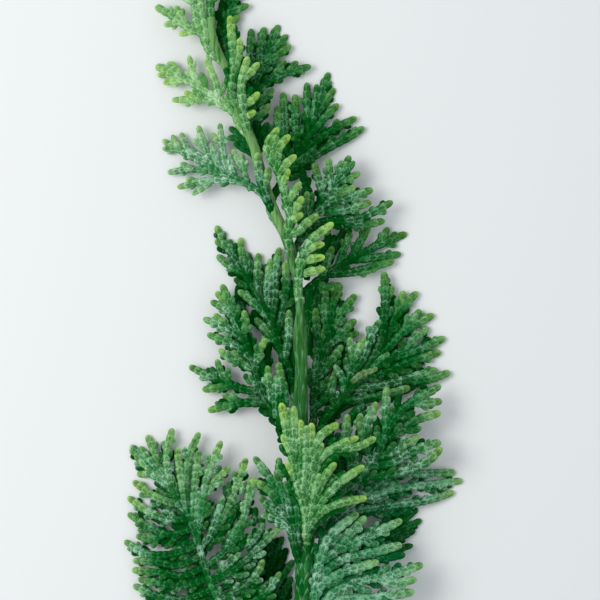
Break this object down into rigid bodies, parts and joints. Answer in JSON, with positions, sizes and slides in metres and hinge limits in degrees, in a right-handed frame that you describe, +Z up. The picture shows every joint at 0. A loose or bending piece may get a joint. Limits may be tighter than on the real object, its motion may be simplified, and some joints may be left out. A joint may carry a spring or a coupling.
{
  "type": "cypress branch",
  "caption": "Cut cypress branch lying flat: a tapering green stem with fern-like, flattened sprays of blunt scale-leaf shoots to the left and right, and lighter sprays standing up off it",
  "frame": {"origin": "on the surface that the branch lies on, under the middle of its outline", "axes": "+Y from the cut end towards the growing tip, +X to the right as the picture shows it, +Z up, away from the surface"},
  "size_m": [0.0855, 0.2032, 0.0189],
  "materials": {
    "bark": "green young bark, slightly ridged, satin",
    "dark_foliage": "dark green scale leaves, satin, in the branch's own shade",
    "deep_foliage": "deep green scale leaves with pale waxy edges, satin",
    "blue_foliage": "grey-green scale leaves with a matt waxy bloom",
    "light_foliage": "fresh light green scale leaves with yellow-green tips, satin"
  },
  "bodies": {
    "root": {"main_stem": "bark", "left_spray_1": "deep_foliage", "left_spray_2": "dark_foliage", "left_spray_3": "deep_foliage", "left_spray_4": "deep_foliage", "left_spray_5": "dark_foliage", "left_spray_6": "deep_foliage", "left_spray_7": "dark_foliage", "left_spray_8": "light_foliage", "left_spray_9": "light_foliage", "leader_spray": "light_foliage", "right_spray_1": "dark_foliage", "right_spray_2": "blue_foliage", "right_spray_3": "dark_foliage", "right_spray_4": "blue_foliage", "right_spray_5": "deep_foliage", "right_spray_6": "dark_foliage", "right_spray_7": "deep_foliage", "right_spray_8": "deep_foliage", "right_spray_9": "deep_foliage", "right_spray_10": "deep_foliage", "right_spray_11": "dark_foliage", "front_spray_1": "light_foliage", "front_spray_2": "light_foliage", "front_spray_3": "light_foliage", "front_spray_4": "deep_foliage", "front_spray_5": "light_foliage", "front_spray_6": "light_foliage"}
  },
  "joints": []
}
